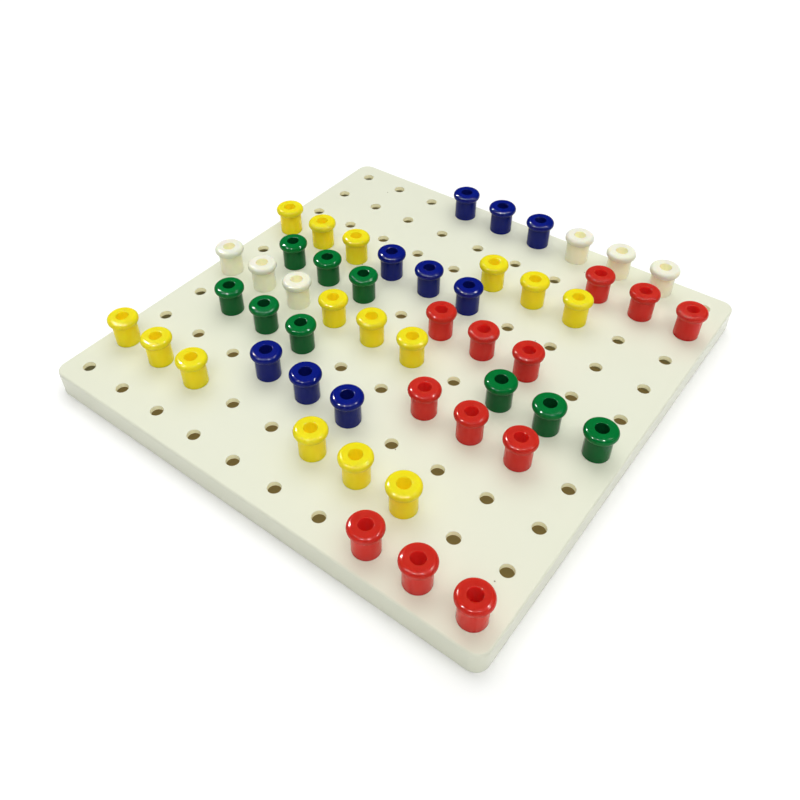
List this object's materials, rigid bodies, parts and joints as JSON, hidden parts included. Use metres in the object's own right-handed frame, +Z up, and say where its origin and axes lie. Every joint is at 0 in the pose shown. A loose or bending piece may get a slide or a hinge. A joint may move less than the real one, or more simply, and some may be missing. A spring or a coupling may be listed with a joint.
{
  "type": "stacking peg board",
  "caption": "Square perforated board with a grid of round holes, holding coloured hollow stacking pegs with flanged heads, stood in rows, for sorting, pattern and early counting play.",
  "frame": {"origin": "middle of the board's underside, in the plane that it stands on", "axes": "+Z up out of the board's top, +X along a row of pegs from column 1 to column 10, +Y from row 1 at the front to row 10 at the back"},
  "size_m": [0.254, 0.254, 0.0299],
  "materials": {
    "board_plastic": "semi-gloss ivory moulding",
    "red_peg_plastic": "gloss",
    "yellow_peg_plastic": "gloss",
    "green_peg_plastic": "gloss",
    "blue_peg_plastic": "gloss",
    "white_peg_plastic": "gloss"
  },
  "bodies": {
    "board": {"board": "board_plastic"},
    "red_peg_r1_c8": {"red_peg_r1_c8": "red_peg_plastic"},
    "red_peg_r1_c9": {"red_peg_r1_c9": "red_peg_plastic"},
    "red_peg_r1_c10": {"red_peg_r1_c10": "red_peg_plastic"},
    "yellow_peg_r2_c1": {"yellow_peg_r2_c1": "yellow_peg_plastic"},
    "yellow_peg_r2_c2": {"yellow_peg_r2_c2": "yellow_peg_plastic"},
    "yellow_peg_r2_c3": {"yellow_peg_r2_c3": "yellow_peg_plastic"},
    "yellow_peg_r2_c6": {"yellow_peg_r2_c6": "yellow_peg_plastic"},
    "yellow_peg_r2_c7": {"yellow_peg_r2_c7": "yellow_peg_plastic"},
    "yellow_peg_r2_c8": {"yellow_peg_r2_c8": "yellow_peg_plastic"},
    "blue_peg_r3_c4": {"blue_peg_r3_c4": "blue_peg_plastic"},
    "blue_peg_r3_c5": {"blue_peg_r3_c5": "blue_peg_plastic"},
    "blue_peg_r3_c6": {"blue_peg_r3_c6": "blue_peg_plastic"},
    "green_peg_r4_c2": {"green_peg_r4_c2": "green_peg_plastic"},
    "green_peg_r4_c3": {"green_peg_r4_c3": "green_peg_plastic"},
    "green_peg_r4_c4": {"green_peg_r4_c4": "green_peg_plastic"},
    "red_peg_r4_c7": {"red_peg_r4_c7": "red_peg_plastic"},
    "red_peg_r4_c8": {"red_peg_r4_c8": "red_peg_plastic"},
    "red_peg_r4_c9": {"red_peg_r4_c9": "red_peg_plastic"},
    "white_peg_r5_c1": {"white_peg_r5_c1": "white_peg_plastic"},
    "white_peg_r5_c2": {"white_peg_r5_c2": "white_peg_plastic"},
    "white_peg_r5_c3": {"white_peg_r5_c3": "white_peg_plastic"},
    "yellow_peg_r5_c4": {"yellow_peg_r5_c4": "yellow_peg_plastic"},
    "yellow_peg_r5_c5": {"yellow_peg_r5_c5": "yellow_peg_plastic"},
    "yellow_peg_r5_c6": {"yellow_peg_r5_c6": "yellow_peg_plastic"},
    "green_peg_r5_c8": {"green_peg_r5_c8": "green_peg_plastic"},
    "green_peg_r5_c9": {"green_peg_r5_c9": "green_peg_plastic"},
    "green_peg_r5_c10": {"green_peg_r5_c10": "green_peg_plastic"},
    "green_peg_r6_c2": {"green_peg_r6_c2": "green_peg_plastic"},
    "green_peg_r6_c3": {"green_peg_r6_c3": "green_peg_plastic"},
    "green_peg_r6_c4": {"green_peg_r6_c4": "green_peg_plastic"},
    "red_peg_r6_c6": {"red_peg_r6_c6": "red_peg_plastic"},
    "red_peg_r6_c7": {"red_peg_r6_c7": "red_peg_plastic"},
    "red_peg_r6_c8": {"red_peg_r6_c8": "red_peg_plastic"},
    "yellow_peg_r7_c1": {"yellow_peg_r7_c1": "yellow_peg_plastic"},
    "yellow_peg_r7_c2": {"yellow_peg_r7_c2": "yellow_peg_plastic"},
    "yellow_peg_r7_c3": {"yellow_peg_r7_c3": "yellow_peg_plastic"},
    "blue_peg_r7_c4": {"blue_peg_r7_c4": "blue_peg_plastic"},
    "blue_peg_r7_c5": {"blue_peg_r7_c5": "blue_peg_plastic"},
    "blue_peg_r7_c6": {"blue_peg_r7_c6": "blue_peg_plastic"},
    "yellow_peg_r8_c6": {"yellow_peg_r8_c6": "yellow_peg_plastic"},
    "yellow_peg_r8_c7": {"yellow_peg_r8_c7": "yellow_peg_plastic"},
    "yellow_peg_r8_c8": {"yellow_peg_r8_c8": "yellow_peg_plastic"},
    "red_peg_r9_c8": {"red_peg_r9_c8": "red_peg_plastic"},
    "red_peg_r9_c9": {"red_peg_r9_c9": "red_peg_plastic"},
    "red_peg_r9_c10": {"red_peg_r9_c10": "red_peg_plastic"},
    "blue_peg_r10_c4": {"blue_peg_r10_c4": "blue_peg_plastic"},
    "blue_peg_r10_c5": {"blue_peg_r10_c5": "blue_peg_plastic"},
    "blue_peg_r10_c6": {"blue_peg_r10_c6": "blue_peg_plastic"},
    "white_peg_r10_c7": {"white_peg_r10_c7": "white_peg_plastic"},
    "white_peg_r10_c8": {"white_peg_r10_c8": "white_peg_plastic"},
    "white_peg_r10_c9": {"white_peg_r10_c9": "white_peg_plastic"}
  },
  "joints": [
    {"name": "red_peg_r1_c8_lift", "type": "slide", "parent": "board", "child": "red_peg_r1_c8", "axis": [0, 0, 1], "range_m": [0, 0.03]},
    {"name": "red_peg_r1_c9_lift", "type": "slide", "parent": "board", "child": "red_peg_r1_c9", "axis": [0, 0, 1], "range_m": [0, 0.03]},
    {"name": "red_peg_r1_c10_lift", "type": "slide", "parent": "board", "child": "red_peg_r1_c10", "axis": [0, 0, 1], "range_m": [0, 0.03]},
    {"name": "yellow_peg_r2_c1_lift", "type": "slide", "parent": "board", "child": "yellow_peg_r2_c1", "axis": [0, 0, 1], "range_m": [0, 0.03]},
    {"name": "yellow_peg_r2_c2_lift", "type": "slide", "parent": "board", "child": "yellow_peg_r2_c2", "axis": [0, 0, 1], "range_m": [0, 0.03]},
    {"name": "yellow_peg_r2_c3_lift", "type": "slide", "parent": "board", "child": "yellow_peg_r2_c3", "axis": [0, 0, 1], "range_m": [0, 0.03]},
    {"name": "yellow_peg_r2_c6_lift", "type": "slide", "parent": "board", "child": "yellow_peg_r2_c6", "axis": [0, 0, 1], "range_m": [0, 0.03]},
    {"name": "yellow_peg_r2_c7_lift", "type": "slide", "parent": "board", "child": "yellow_peg_r2_c7", "axis": [0, 0, 1], "range_m": [0, 0.03]},
    {"name": "yellow_peg_r2_c8_lift", "type": "slide", "parent": "board", "child": "yellow_peg_r2_c8", "axis": [0, 0, 1], "range_m": [0, 0.03]},
    {"name": "blue_peg_r3_c4_lift", "type": "slide", "parent": "board", "child": "blue_peg_r3_c4", "axis": [0, 0, 1], "range_m": [0, 0.03]},
    {"name": "blue_peg_r3_c5_lift", "type": "slide", "parent": "board", "child": "blue_peg_r3_c5", "axis": [0, 0, 1], "range_m": [0, 0.03]},
    {"name": "blue_peg_r3_c6_lift", "type": "slide", "parent": "board", "child": "blue_peg_r3_c6", "axis": [0, 0, 1], "range_m": [0, 0.03]},
    {"name": "green_peg_r4_c2_lift", "type": "slide", "parent": "board", "child": "green_peg_r4_c2", "axis": [0, 0, 1], "range_m": [0, 0.03]},
    {"name": "green_peg_r4_c3_lift", "type": "slide", "parent": "board", "child": "green_peg_r4_c3", "axis": [0, 0, 1], "range_m": [0, 0.03]},
    {"name": "green_peg_r4_c4_lift", "type": "slide", "parent": "board", "child": "green_peg_r4_c4", "axis": [0, 0, 1], "range_m": [0, 0.03]},
    {"name": "red_peg_r4_c7_lift", "type": "slide", "parent": "board", "child": "red_peg_r4_c7", "axis": [0, 0, 1], "range_m": [0, 0.03]},
    {"name": "red_peg_r4_c8_lift", "type": "slide", "parent": "board", "child": "red_peg_r4_c8", "axis": [0, 0, 1], "range_m": [0, 0.03]},
    {"name": "red_peg_r4_c9_lift", "type": "slide", "parent": "board", "child": "red_peg_r4_c9", "axis": [0, 0, 1], "range_m": [0, 0.03]},
    {"name": "white_peg_r5_c1_lift", "type": "slide", "parent": "board", "child": "white_peg_r5_c1", "axis": [0, 0, 1], "range_m": [0, 0.03]},
    {"name": "white_peg_r5_c2_lift", "type": "slide", "parent": "board", "child": "white_peg_r5_c2", "axis": [0, 0, 1], "range_m": [0, 0.03]},
    {"name": "white_peg_r5_c3_lift", "type": "slide", "parent": "board", "child": "white_peg_r5_c3", "axis": [0, 0, 1], "range_m": [0, 0.03]},
    {"name": "yellow_peg_r5_c4_lift", "type": "slide", "parent": "board", "child": "yellow_peg_r5_c4", "axis": [0, 0, 1], "range_m": [0, 0.03]},
    {"name": "yellow_peg_r5_c5_lift", "type": "slide", "parent": "board", "child": "yellow_peg_r5_c5", "axis": [0, 0, 1], "range_m": [0, 0.03]},
    {"name": "yellow_peg_r5_c6_lift", "type": "slide", "parent": "board", "child": "yellow_peg_r5_c6", "axis": [0, 0, 1], "range_m": [0, 0.03]},
    {"name": "green_peg_r5_c8_lift", "type": "slide", "parent": "board", "child": "green_peg_r5_c8", "axis": [0, 0, 1], "range_m": [0, 0.03]},
    {"name": "green_peg_r5_c9_lift", "type": "slide", "parent": "board", "child": "green_peg_r5_c9", "axis": [0, 0, 1], "range_m": [0, 0.03]},
    {"name": "green_peg_r5_c10_lift", "type": "slide", "parent": "board", "child": "green_peg_r5_c10", "axis": [0, 0, 1], "range_m": [0, 0.03]},
    {"name": "green_peg_r6_c2_lift", "type": "slide", "parent": "board", "child": "green_peg_r6_c2", "axis": [0, 0, 1], "range_m": [0, 0.03]},
    {"name": "green_peg_r6_c3_lift", "type": "slide", "parent": "board", "child": "green_peg_r6_c3", "axis": [0, 0, 1], "range_m": [0, 0.03]},
    {"name": "green_peg_r6_c4_lift", "type": "slide", "parent": "board", "child": "green_peg_r6_c4", "axis": [0, 0, 1], "range_m": [0, 0.03]},
    {"name": "red_peg_r6_c6_lift", "type": "slide", "parent": "board", "child": "red_peg_r6_c6", "axis": [0, 0, 1], "range_m": [0, 0.03]},
    {"name": "red_peg_r6_c7_lift", "type": "slide", "parent": "board", "child": "red_peg_r6_c7", "axis": [0, 0, 1], "range_m": [0, 0.03]},
    {"name": "red_peg_r6_c8_lift", "type": "slide", "parent": "board", "child": "red_peg_r6_c8", "axis": [0, 0, 1], "range_m": [0, 0.03]},
    {"name": "yellow_peg_r7_c1_lift", "type": "slide", "parent": "board", "child": "yellow_peg_r7_c1", "axis": [0, 0, 1], "range_m": [0, 0.03]},
    {"name": "yellow_peg_r7_c2_lift", "type": "slide", "parent": "board", "child": "yellow_peg_r7_c2", "axis": [0, 0, 1], "range_m": [0, 0.03]},
    {"name": "yellow_peg_r7_c3_lift", "type": "slide", "parent": "board", "child": "yellow_peg_r7_c3", "axis": [0, 0, 1], "range_m": [0, 0.03]},
    {"name": "blue_peg_r7_c4_lift", "type": "slide", "parent": "board", "child": "blue_peg_r7_c4", "axis": [0, 0, 1], "range_m": [0, 0.03]},
    {"name": "blue_peg_r7_c5_lift", "type": "slide", "parent": "board", "child": "blue_peg_r7_c5", "axis": [0, 0, 1], "range_m": [0, 0.03]},
    {"name": "blue_peg_r7_c6_lift", "type": "slide", "parent": "board", "child": "blue_peg_r7_c6", "axis": [0, 0, 1], "range_m": [0, 0.03]},
    {"name": "yellow_peg_r8_c6_lift", "type": "slide", "parent": "board", "child": "yellow_peg_r8_c6", "axis": [0, 0, 1], "range_m": [0, 0.03]},
    {"name": "yellow_peg_r8_c7_lift", "type": "slide", "parent": "board", "child": "yellow_peg_r8_c7", "axis": [0, 0, 1], "range_m": [0, 0.03]},
    {"name": "yellow_peg_r8_c8_lift", "type": "slide", "parent": "board", "child": "yellow_peg_r8_c8", "axis": [0, 0, 1], "range_m": [0, 0.03]},
    {"name": "red_peg_r9_c8_lift", "type": "slide", "parent": "board", "child": "red_peg_r9_c8", "axis": [0, 0, 1], "range_m": [0, 0.03]},
    {"name": "red_peg_r9_c9_lift", "type": "slide", "parent": "board", "child": "red_peg_r9_c9", "axis": [0, 0, 1], "range_m": [0, 0.03]},
    {"name": "red_peg_r9_c10_lift", "type": "slide", "parent": "board", "child": "red_peg_r9_c10", "axis": [0, 0, 1], "range_m": [0, 0.03]},
    {"name": "blue_peg_r10_c4_lift", "type": "slide", "parent": "board", "child": "blue_peg_r10_c4", "axis": [0, 0, 1], "range_m": [0, 0.03]},
    {"name": "blue_peg_r10_c5_lift", "type": "slide", "parent": "board", "child": "blue_peg_r10_c5", "axis": [0, 0, 1], "range_m": [0, 0.03]},
    {"name": "blue_peg_r10_c6_lift", "type": "slide", "parent": "board", "child": "blue_peg_r10_c6", "axis": [0, 0, 1], "range_m": [0, 0.03]},
    {"name": "white_peg_r10_c7_lift", "type": "slide", "parent": "board", "child": "white_peg_r10_c7", "axis": [0, 0, 1], "range_m": [0, 0.03]},
    {"name": "white_peg_r10_c8_lift", "type": "slide", "parent": "board", "child": "white_peg_r10_c8", "axis": [0, 0, 1], "range_m": [0, 0.03]},
    {"name": "white_peg_r10_c9_lift", "type": "slide", "parent": "board", "child": "white_peg_r10_c9", "axis": [0, 0, 1], "range_m": [0, 0.03]}
  ]
}
